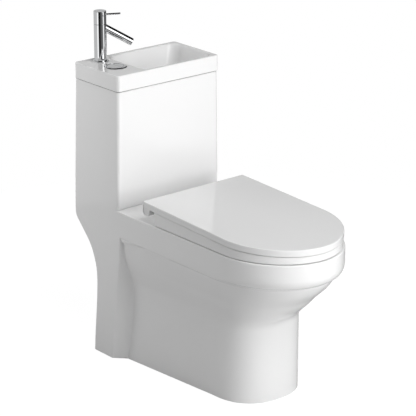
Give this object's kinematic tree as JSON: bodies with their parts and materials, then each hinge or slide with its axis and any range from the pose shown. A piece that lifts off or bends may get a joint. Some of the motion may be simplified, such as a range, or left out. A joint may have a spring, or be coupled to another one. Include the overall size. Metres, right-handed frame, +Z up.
{
  "type": "toilet with hand basin on the cistern",
  "caption": "Floor-standing toilet whose cistern carries a hand basin with its own tap, a pop-up waste, push-button flush, and a hinged seat and lid.",
  "frame": {"origin": "centre of the plan outline, at floor level: middle of the width, middle of the overall depth, bottom of the foot", "axes": "+Z up, -Y towards the front of the pan where the user sits, +Y towards the wall, +X to the right seen from the front"},
  "size_m": [0.3508, 0.8, 0.9183],
  "materials": {
    "china": "white vitreous glaze, high gloss",
    "seat_plastic": "glossy white moulded plastic",
    "chrome": "polished chrome plate",
    "brass": "plain machined",
    "copper": "drawn pipe, satin",
    "steel": "satin",
    "white_plastic": "moulded, satin",
    "grey_plastic": "moulded, satin",
    "rubber": "moulded, matt"
  },
  "bodies": {
    "fixed": {"ceramic_body": "china", "basin": "china", "basin_seal": "rubber", "tap_base_ring": "chrome", "tap_body": "chrome", "tap_spout": "chrome", "tap_aerator": "grey_plastic", "tap_cartridge": "grey_plastic", "tap_shank": "brass", "tap_gasket": "rubber", "tap_nut": "brass", "tap_supply_pipe": "copper", "supply_washer": "rubber", "supply_nut": "brass", "waste_flange": "chrome", "waste_tail": "brass", "waste_seal": "rubber", "waste_nut": "brass", "button_bezel": "chrome", "button_sleeve": "white_plastic", "sleeve_nut": "grey_plastic", "flush_gasket": "rubber", "flush_base": "white_plastic", "flush_cage": "white_plastic", "flush_cage_head": "grey_plastic", "fill_valve": "white_plastic", "fill_cap": "grey_plastic", "fill_washer": "rubber", "fill_nut": "white_plastic", "hinge_posts": "chrome", "hinge_pins": "steel", "hinge_studs": "steel", "hinge_washers": "rubber", "hinge_nuts": "white_plastic", "outlet_connector": "white_plastic", "outlet_seal": "rubber", "floor_brackets": "steel", "bracket_bolts": "steel"},
    "tap_cap": {"tap_cap": "chrome", "tap_stem": "brass", "lever_pin": "steel"},
    "tap_lever": {"tap_lever": "chrome"},
    "plug": {"waste_plug": "chrome"},
    "full_button": {"full_flush_button": "chrome", "full_push_rod": "grey_plastic"},
    "half_button": {"half_flush_button": "chrome", "half_push_rod": "grey_plastic"},
    "piston": {"flush_piston": "grey_plastic", "flush_seal": "rubber"},
    "float": {"fill_float": "grey_plastic"},
    "seat": {"seat_ring": "seat_plastic", "seat_buffers": "rubber"},
    "lid": {"lid": "seat_plastic", "lid_buffers": "rubber"}
  },
  "joints": [
    {"name": "cap_turn", "type": "hinge", "parent": "fixed", "child": "tap_cap", "pos_m": [-0.109, 0.353, 0.9], "axis": [0, 0, 1], "range_deg": [-45, 45]},
    {"name": "lever_lift", "type": "hinge", "parent": "tap_cap", "child": "tap_lever", "pos_m": [-0.10447, 0.35089, 0.9078], "axis": [-0.4226, -0.9063, 0], "range_deg": [0, 20]},
    {"name": "plug_press", "type": "slide", "parent": "fixed", "child": "plug", "axis": [0, 0, -1], "range_m": [0, 0.0077]},
    {"name": "full_flush_press", "type": "slide", "parent": "fixed", "child": "full_button", "axis": [0, 0, -1], "range_m": [0, 0.006], "stiffness_N_per_m": 250, "springref_m": -0.008},
    {"name": "half_flush_press", "type": "slide", "parent": "fixed", "child": "half_button", "axis": [0, 0, -1], "range_m": [0, 0.006], "stiffness_N_per_m": 250, "springref_m": -0.008},
    {"name": "piston_lift", "type": "slide", "parent": "fixed", "child": "piston", "axis": [0, 0, 1], "range_m": [0, 0.012]},
    {"name": "float_rise", "type": "slide", "parent": "fixed", "child": "float", "axis": [0, 0, 1], "range_m": [0, 0.04]},
    {"name": "seat_hinge", "type": "hinge", "parent": "fixed", "child": "seat", "pos_m": [0, 0.093, 0.453], "axis": [-1, 0, 0], "range_deg": [0, 95]},
    {"name": "lid_hinge", "type": "hinge", "parent": "seat", "child": "lid", "pos_m": [0, 0.093, 0.453], "axis": [1, 0, 0], "range_deg": [-100, 0]}
  ],
  "couplings": [
    {"joint": "piston_lift", "follows": "full_flush_press", "ratio": 2}
  ]
}
